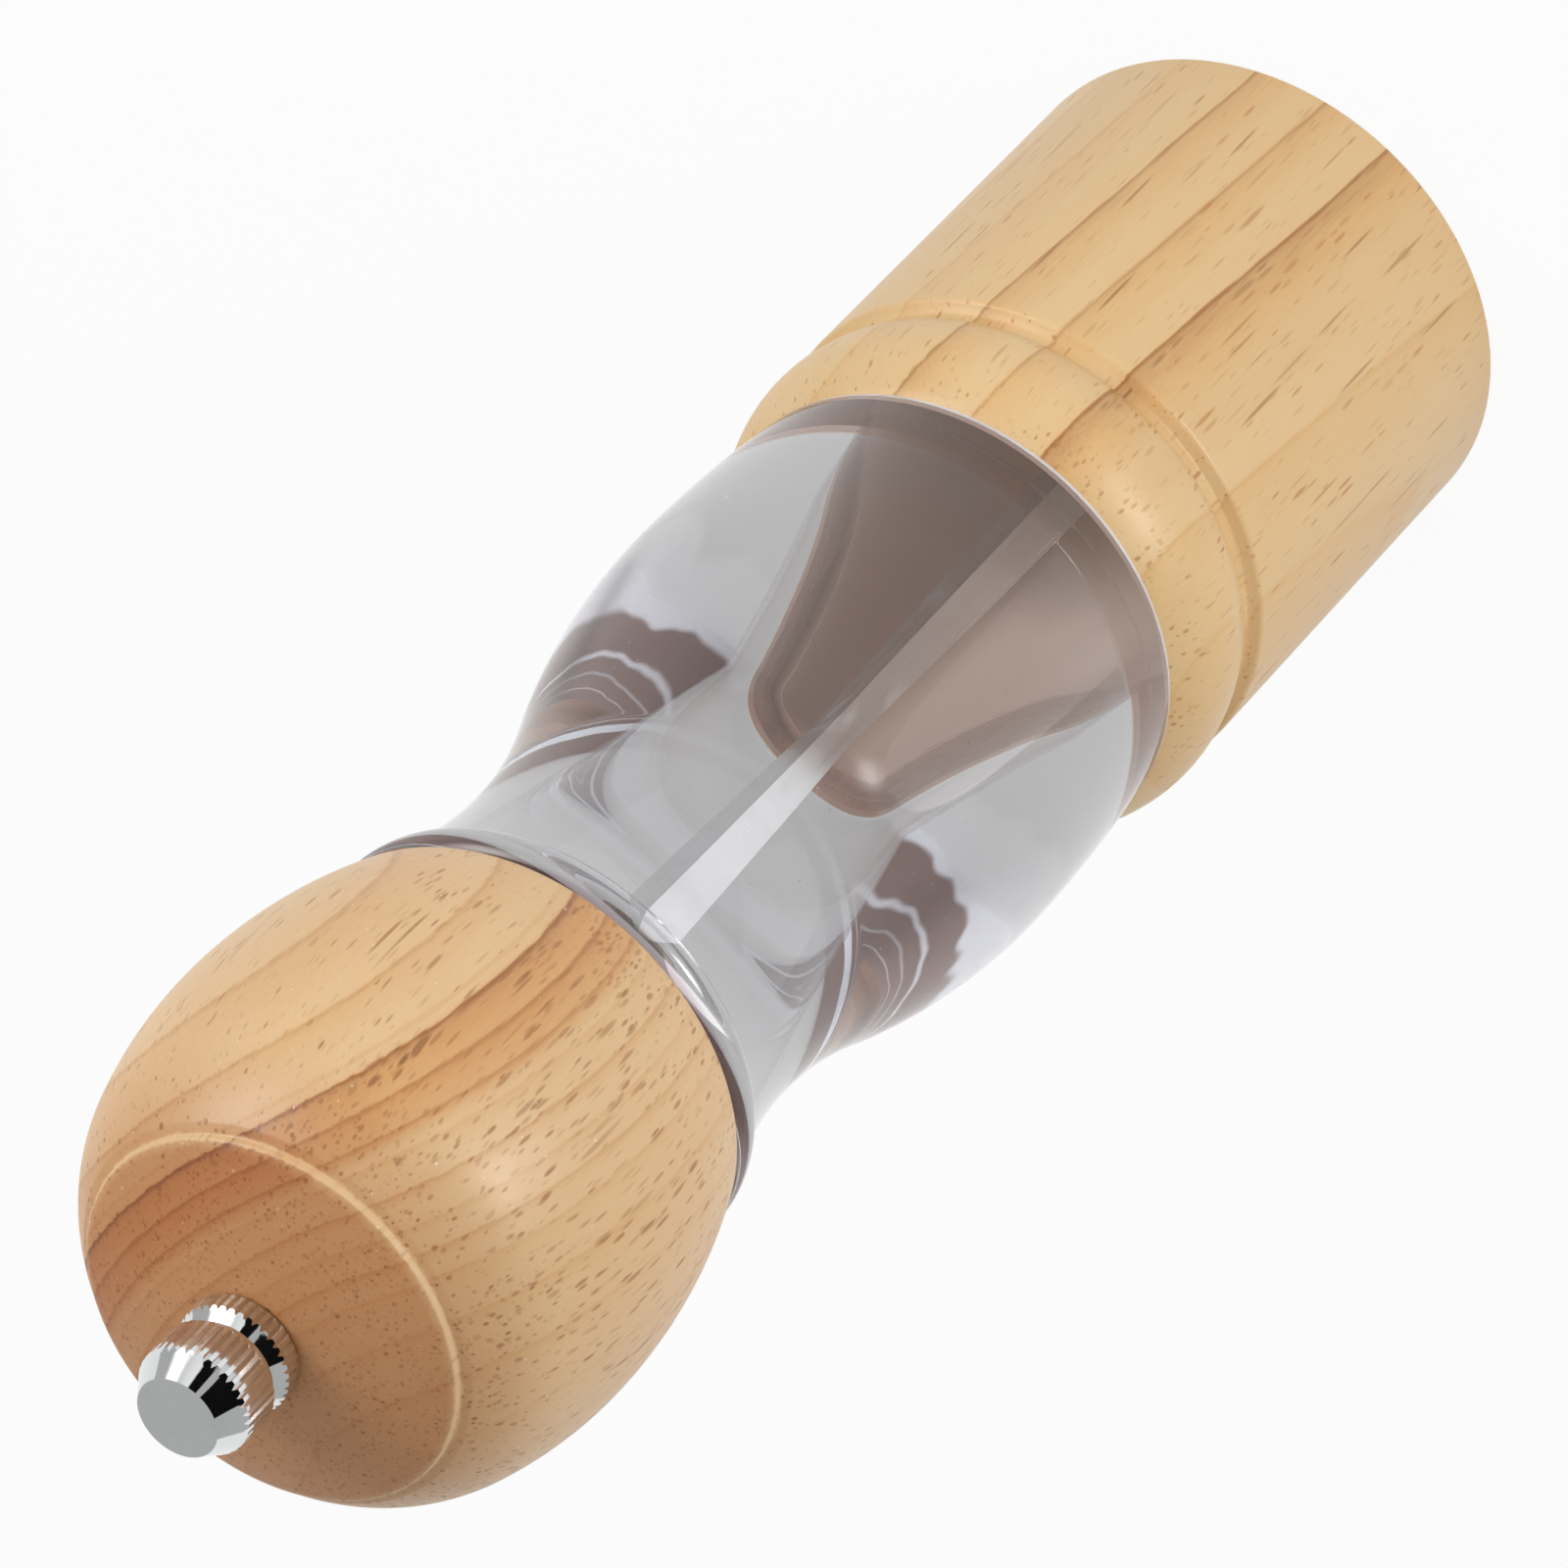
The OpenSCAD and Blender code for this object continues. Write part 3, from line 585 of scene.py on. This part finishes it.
FINISHES = {
    "base_wood": base_wood,
    "head_wood": head_wood,
    "clear_acrylic": clear_body,
    "chrome": chrome,
    "shaft_aluminium": drawn_bar,
    "plated_steel": zinc_plate,
    "screw_steel": screw_zinc,
    "spring_steel": spring_wire,
    "housing_plastic": black_plastic,
    "ceramic": white_ceramic,
}
print("There are", len(FINISHES), "finishes")

# %% [markdown]
# ## Dressing the CAD pieces
# Nineteen lines could each give one node its finish. The record already says which slot each
# node takes its finish from, so one loop dresses them all and can't miss one.

# %% Give every node its finish
for part in frame["record"]["subparts"]:
    node = frame["nodes"][part["node"]]
    node.data.materials.clear()
    node.data.materials.append(FINISHES[part["material_slot"]])

# %% [markdown]
# ## A lathe
# The base, the clear body and the head are all turned. Half of the section is drawn point by
# point, as a turner cuts a template, and then it is spun once round the axis.
# Stacking rings by extruding and scaling a circle would work too, but it is slow for
# hundreds of rings. A section is also easier to read and to change.

# %% The section and the spin
TURN_SIDES = 192
CLEAR_SIDES = 240
WELD = 0.002
SMOOTH_UP_TO = math.radians(30)


def arc(centre, radius, start, end, steps):
    """Points along an arc of the section, by angle in degrees from the outward direction."""
    angles = [math.radians(start + (end - start) * i / steps) for i in range(steps + 1)]
    return [(centre[0] + radius * math.cos(a), centre[1] + radius * math.sin(a)) for a in angles]


def turn_piece(name, section, sides=TURN_SIDES):
    """Spins a closed half section, in millimetres, once round the axis."""
    bpy.ops.object.select_all(action="DESELECT")
    bpy.ops.mesh.primitive_plane_add(size=MM)
    piece = bpy.context.object
    piece.name = name
    bpy.ops.object.mode_set(mode="EDIT")
    bpy.ops.mesh.merge(type="CENTER")
    bpy.ops.transform.translate(value=(section[0][0] * MM, 0, section[0][1] * MM))
    for before, after in zip(section, section[1:] + section[:1]):
        step = ((after[0] - before[0]) * MM, 0, (after[1] - before[1]) * MM)
        bpy.ops.mesh.extrude_vertices_move(TRANSFORM_OT_translate={"value": step})
    bpy.ops.mesh.select_all(action="SELECT")
    bpy.ops.mesh.spin(steps=sides, angle=math.tau, center=(0, 0, 0), axis=(0, 0, 1))
    bpy.ops.mesh.select_all(action="SELECT")
    bpy.ops.mesh.remove_doubles(threshold=WELD * MM)
    bpy.ops.mesh.normals_make_consistent(inside=False)
    bpy.ops.object.mode_set(mode="OBJECT")
    bpy.ops.object.shade_smooth_by_angle(angle=SMOOTH_UP_TO)
    return piece


def fit_piece(piece, node):
    """The piece stands for a CAD node: it rides on its body and wears its finish."""
    slot = next(p["material_slot"] for p in frame["record"]["subparts"] if p["node"] == node)
    piece.data.materials.append(FINISHES[slot])
    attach(piece, frame["nodes"][node]["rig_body"])
    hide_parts(node)
    low, high = (Vector(corner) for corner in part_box(node))
    tall = round((high - low).z / MM, 2)
    print(piece.name, "has", len(piece.data.polygons), "faces; the node is", tall, "mm tall")


# %% [markdown]
# ## The base
# The foot is a straight cylinder with a turned groove and a fat bead on top. The clear body
# stands on the flat land on top of the bead, with its spigot glued into a recess.
# Glue leaves no air between the two, so the wood reaches a hair into the clear body. With a
# gap there, light would be mirrored at the spigot and the wood behind it would look black.

# %% Turn the base
BASE_R = 28.0
BASE_H = 65.0
EDGE = 0.7
GROOVE_LOW = 50.5
GROOVE_HIGH = 52.7
GROOVE_R = 26.6
GROOVE_EDGE = 0.55
BEAD_CENTRE = (17.04, 57.5)
BEAD_ARC = 11.21
SPIGOT_R = 22.5
SPIGOT_H = 6.0
THROAT_R = 17.8
RECESS_R = 22.5
LAND_R = 25.2
GLUED = 0.05
FLANGE = 2.5
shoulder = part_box("grinder_housing")[0].z / MM + FLANGE


def base_section():
    """Half of the base, from the foot up its outside, over the land and down the bore."""
    bead_low = math.degrees(math.asin((GROOVE_HIGH + 0.3 - BEAD_CENTRE[1]) / BEAD_ARC))
    bead_high = math.degrees(math.asin((BASE_H - BEAD_CENTRE[1]) / BEAD_ARC))
    section = [(RECESS_R, 0.0)]
    section += arc((BASE_R - EDGE, EDGE), EDGE, -90, 0, 6)
    section += arc((BASE_R - EDGE, GROOVE_LOW - EDGE), EDGE, 0, 70, 6)
    section += arc((GROOVE_R + GROOVE_EDGE, GROOVE_LOW + 0.75), GROOVE_EDGE, 230, 180, 5)
    section += arc((GROOVE_R + GROOVE_EDGE, GROOVE_HIGH - GROOVE_EDGE), GROOVE_EDGE, 180, 130, 5)
    section += arc(BEAD_CENTRE, BEAD_ARC, bead_low, bead_high - 3, 36)
    land_z = BASE_H + GLUED
    section += [(LAND_R, land_z), (SPIGOT_R - GLUED, land_z)]
    section += [(SPIGOT_R - GLUED, land_z - SPIGOT_H), (THROAT_R, land_z - SPIGOT_H)]
    section += [(THROAT_R, shoulder), (RECESS_R, shoulder)]
    return section


fit_piece(turn_piece("turned_base", base_section()), "base")

# %% [markdown]
# ## The clear body
# Outside, three arcs run into each other: the skirt, the belly and the waist. The waist ends
# in a rounded rim, where the two circles cross. The chamber inside is a plain cone, which the
# mould's core leaves behind.

# %% Turn the clear body
BELLY_R = 27.1
BELLY_Z = 86.5
BELLY_ARC = 74.0
SKIRT_ARC = 175.0
NECK_R = 20.4
NECK_Z = 127.3
BODY_EDGE = 1.0
RIM_R = 24.1
RIM_Z = 147.3
RIM_EDGE = 2.2
CHAMBER_R = 17.5
MOUTH_R = 15.0
MOUTH_EDGE = 0.5
waist = BELLY_R - NECK_R
neck_arc = (waist ** 2 + (NECK_Z - BELLY_Z) ** 2) / (2 * waist) - BELLY_ARC


def body_section():
    """Half of the clear body, from the spigot up the outside, over the rim to the chamber."""
    foot_z = BASE_H + BODY_EDGE
    foot_r = BELLY_R - (BELLY_Z - foot_z) ** 2 / (2 * SKIRT_ARC)
    foot_turn = math.degrees(math.asin((foot_z - BELLY_Z) / SKIRT_ARC))
    meet_turn = math.degrees(math.asin((NECK_Z - BELLY_Z) / (BELLY_ARC + neck_arc)))
    rim_centre = (RIM_R - RIM_EDGE, RIM_Z - RIM_EDGE)
    neck_centre = (NECK_R + neck_arc, NECK_Z)
    away = math.dist(rim_centre, neck_centre)
    to_neck = math.atan2(neck_centre[1] - rim_centre[1], neck_centre[0] - rim_centre[0])
    opening = math.acos((away ** 2 + RIM_EDGE ** 2 - neck_arc ** 2) / (2 * away * RIM_EDGE))
    rim_low = math.degrees(to_neck - opening)
    rim_foot = arc(rim_centre, RIM_EDGE, rim_low, rim_low, 1)[0]
    rim_turn = math.degrees(math.asin((rim_foot[1] - NECK_Z) / neck_arc))
    section = [(CHAMBER_R, BASE_H - SPIGOT_H), (SPIGOT_R, BASE_H - SPIGOT_H), (SPIGOT_R, BASE_H)]
    section += arc((foot_r - BODY_EDGE, foot_z), BODY_EDGE, -90, 0, 10)[:-1]
    section += arc((BELLY_R - SKIRT_ARC, BELLY_Z), SKIRT_ARC, foot_turn, 0, 40)
    section += arc((BELLY_R - BELLY_ARC, BELLY_Z), BELLY_ARC, 0, meet_turn, 50)[1:]
    section += arc(neck_centre, neck_arc, 180 + meet_turn, 180 - rim_turn, 70)[1:-1]
    section += arc(rim_centre, RIM_EDGE, rim_low, 90, 24)
    section += arc((MOUTH_R + MOUTH_EDGE, RIM_Z - MOUTH_EDGE), MOUTH_EDGE, 90, 180, 6)
    section += [(MOUTH_R + 0.02, RIM_Z - 2 * MOUTH_EDGE)]
    return section


fit_piece(turn_piece("clear_body", body_section(), CLEAR_SIDES), "acrylic_body")

# %% [markdown]
# ## The head
# The head is a ball with a rounded lower edge and a small step round its crown. The crown is
# turned to a shallow dome, and the chrome nut sits in its middle.
# A ball squashed by sculpting would look like it, but wouldn't fit its seat. Arcs of known
# radius do both.

# %% Turn the head
HEAD_Z = 147.6
HEAD_R = 28.06
WIDEST_Z = 168.7
LOW_ARC = 59.0
HIGH_ARC = 50.0
HIGH_H = 13.3
SHOULDER_ARC = 19.7
CROWN_Z = 192.2
CROWN_STEP = 1.0
DOME = 49.3
SEAT_R = 6.55
HEAD_EDGE = 2.0
STEP_EDGE = 0.35
STEP_FOOT = 0.35
STEP_GAP_TURN = 1.0
HEAD_BORE = 3.2
HEAD_SPIGOT_R = 14.6
HEAD_SPIGOT_H = 4.0


def head_section():
    """Half of the head, from its spigot up the outside to the seat of the nut."""
    low_turn = -math.degrees(math.asin((WIDEST_Z - HEAD_Z - HEAD_EDGE) / (LOW_ARC - HEAD_EDGE)))
    edge_r = HEAD_R - LOW_ARC + (LOW_ARC - HEAD_EDGE) * math.cos(math.radians(low_turn))
    high_turn = math.degrees(math.asin(HIGH_H / HIGH_ARC))
    shoulder_r = HEAD_R - HIGH_ARC + (HIGH_ARC - SHOULDER_ARC) * math.cos(math.radians(high_turn))
    shoulder_z = WIDEST_Z + (HIGH_ARC - SHOULDER_ARC) * math.sin(math.radians(high_turn))
    step_z = CROWN_Z - CROWN_STEP
    top_turn = math.degrees(math.asin((step_z - shoulder_z) / SHOULDER_ARC)) - STEP_GAP_TURN
    dome_z = CROWN_Z - math.sqrt(DOME ** 2 - CROWN_R ** 2)
    edge_turn = math.degrees(math.acos((CROWN_R - STEP_EDGE) / DOME))
    seat_turn = math.degrees(math.acos(SEAT_R / DOME))
    seat_z = dome_z + math.sqrt(DOME ** 2 - SEAT_R ** 2)
    section = [(HEAD_BORE, HEAD_Z - HEAD_SPIGOT_H), (HEAD_SPIGOT_R, HEAD_Z - HEAD_SPIGOT_H)]
    section += [(HEAD_SPIGOT_R, HEAD_Z)]
    section += arc((edge_r, HEAD_Z + HEAD_EDGE), HEAD_EDGE, -90, low_turn, 14)[:-1]
    section += arc((HEAD_R - LOW_ARC, WIDEST_Z), LOW_ARC, low_turn, 0, 44)
    section += arc((HEAD_R - HIGH_ARC, WIDEST_Z), HIGH_ARC, 0, high_turn, 24)[1:]
    section += arc((shoulder_r, shoulder_z), SHOULDER_ARC, high_turn, top_turn, 40)[1:]
    section += arc((CROWN_R + STEP_FOOT, step_z + STEP_FOOT), STEP_FOOT, 235, 180, 6)
    section += arc((CROWN_R - STEP_EDGE, CROWN_Z - STEP_EDGE), STEP_EDGE, 0, edge_turn, 5)
    section += arc((0.0, dome_z), DOME, edge_turn + 0.3, seat_turn, 30)
    section += [(HEAD_BORE, seat_z)]
    return section


fit_piece(turn_piece("turned_head", head_section()), "head")

# %% [markdown]
# ## The floor
# The mill stands on a plain white floor. The floor keeps the soft shadow of the mill, and
# mixes it with an even tone that only the camera, mirrors and clear pieces see, so it adds no
# light to the wood. That tone is white, but a soft grey where it is seen through the clear
# body, because a thick clear wall on bare white paper would hardly show.

# %% Lay the floor
FLOOR_R = 4.0
EVEN_SHARE = 0.94
GREY_THROUGH_CLEAR = tone(184, 184, 184)

bpy.ops.object.select_all(action="DESELECT")
bpy.ops.mesh.primitive_circle_add(vertices=96, radius=FLOOR_R, fill_type="NGON")
floor = bpy.context.object
floor.name = "floor"
paper = Finish("floor_paper")
paper.wear(Base_Color=(0.66, 0.66, 0.66, 1.0), Roughness=0.9, Specular_IOR_Level=0.0)
ray = paper.node("ShaderNodeLightPath", output="Is Camera Ray")
through = ray.also("Is Transmission Ray")
seen = paper.math("MINIMUM", ray + ray.also("Is Glossy Ray") + through, 1.0)
white = paper.shader_node("Emission", {"Color": (1.0, 1.0, 1.0, 1.0), "Strength": 1.0})
grey = paper.shader_node("Emission", {"Color": GREY_THROUGH_CLEAR, "Strength": 1.0})
even = paper.either(through, white, grey)
floor.data.materials.append(paper.end_with(paper.either(seen * EVEN_SHARE, paper.own_shader(), even)))
print("The floor is", 2 * FLOOR_R, "m across")

# %% [markdown]
# ## The light
# A pale room gives most of the light. One softbox stands low in front on the left, and its
# reflection is the broad sheen on the head and the bead. A larger one stands high on the
# right. Both are brightest in the middle and fade to nothing at the rim, because the clear
# body would mirror an even panel as a hard bright patch.
# Chrome looks like chrome because it has something dark and something bright to reflect. So
# three cards stand round the nut, and only mirrors see them. A fourth lies flat beside the
# mill. Only light that has passed the clear body sees it, and it brightens the shaft.

# %% Set the lights
FADE_GAIN = 3.4
ROOM_GREY = (0.50, 0.50, 0.50, 1.0)


def softbox(name, spot, aim, width, height, power):
    """An area lamp at a spot that faces what it lights. It is brightest in its middle."""
    bpy.ops.object.select_all(action="DESELECT")
    bpy.ops.object.light_add(type="AREA", location=spot)
    lamp = bpy.context.object
    lamp.name = name
    back = Vector(spot) - Vector(aim)
    lamp.rotation_euler = back.to_track_quat("Z", "Y").to_euler()
    lamp.data.shape = "RECTANGLE"
    lamp.data.size = width
    lamp.data.size_y = height
    lamp.data.energy = power
    lamp.data.use_nodes = True
    tree = lamp.data.node_tree
    spread = tree.nodes.new("ShaderNodeNewGeometry").outputs["Parametric"]
    centred = tree.nodes.new("ShaderNodeVectorMath")
    centred.operation = "DISTANCE"
    centred.inputs[1].default_value = (0.5, 0.5, 0.0)
    tree.links.new(spread, centred.inputs[0])
    fade = tree.nodes.new("ShaderNodeMapRange")
    fade.interpolation_type = "SMOOTHSTEP"
    fade.inputs["From Min"].default_value = 0.5
    fade.inputs["From Max"].default_value = 0.0
    fade.inputs["To Max"].default_value = FADE_GAIN
    tree.links.new(centred.outputs["Value"], fade.inputs["Value"])
    tree.links.new(fade.outputs[0], tree.nodes["Emission"].inputs["Strength"])


def card(name, spot, tilt, turn, size, left, right, inside=False):
    """A card that only mirrors see: those in the open air, or what is seen through the clear
    body. It shades from its left brightness to its right one."""
    bpy.ops.object.select_all(action="DESELECT")
    bpy.ops.mesh.primitive_plane_add(size=1.0, location=spot, rotation=(tilt, 0, turn))
    piece = bpy.context.object
    piece.name = name
    piece.scale = (size[0], size[1], 1.0)
    bpy.ops.object.transform_apply(location=True, rotation=True, scale=True)
    look = Finish(name)
    along = look.split(look.place("UV"))[0]
    ends = [(level, level, level, 1.0) for level in (left, right)]
    look.wear(
        Base_Color=(0.01, 0.01, 0.01, 1.0),
        Roughness=0.9,
        Specular_IOR_Level=0.0,
        Emission_Color=look.blend(look.smooth(along, 0.0, 1.0), *ends),
        Emission_Strength=1.0,
    )
    path = look.node("ShaderNodeLightPath", output="Is Glossy Ray")
    through = path.also("Is Transmission Ray")
    if inside:
        seen = through * look.math("GREATER_THAN", path.also("Glossy Depth"), 0.5)
    else:
        seen = path * (1 - through)
    gone = look.shader_node("BsdfTransparent")
    piece.data.materials.append(look.end_with(look.either(seen, gone, look.own_shader())))


def card_by_nut(name, first, last, left, right):
    """An upright card round the nut, from one angle to another off straight ahead."""
    turn = math.radians((first + last) / 2)
    width = 2 * CARD_AWAY * math.tan(math.radians(last - first) / 2)
    spot = (CARD_AWAY * math.sin(turn), -CARD_AWAY * math.cos(turn), CARD_Z)
    card(name, spot, CARD_TILT, turn, (width, CARD_H), left, right)


CARD_AWAY = 0.56
CARD_Z = 0.40
CARD_H = 0.37
CARD_TILT = math.radians(70)
card_by_nut("dark_card_wide", -62.0, -5.0, 0.0, 0.0)
card_by_nut("dark_card_narrow", 9.0, 29.0, 0.0, 0.0)
card_by_nut("white_card", 31.0, 80.0, 1.0, 0.5)
card("shaft_card", (-0.14, -0.10, 0.001), 0.0, 0.0, (0.2, 0.16), 1.0, 1.0, inside=True)
softbox("front_softbox", (-0.20, -0.46, 0.11), (0, 0, 0.12), 0.26, 0.20, 1.2)
softbox("right_softbox", (0.44, -0.10, 0.44), (0, 0, 0.10), 0.5, 0.5, 1.9)
room = bpy.data.worlds.new("pale_room")
room.use_nodes = True
room.node_tree.nodes["Background"].inputs["Color"].default_value = ROOM_GREY
bpy.context.scene.world = room
bpy.context.scene.view_settings.view_transform = "Standard"
print("Two softboxes and a pale room light the mill")
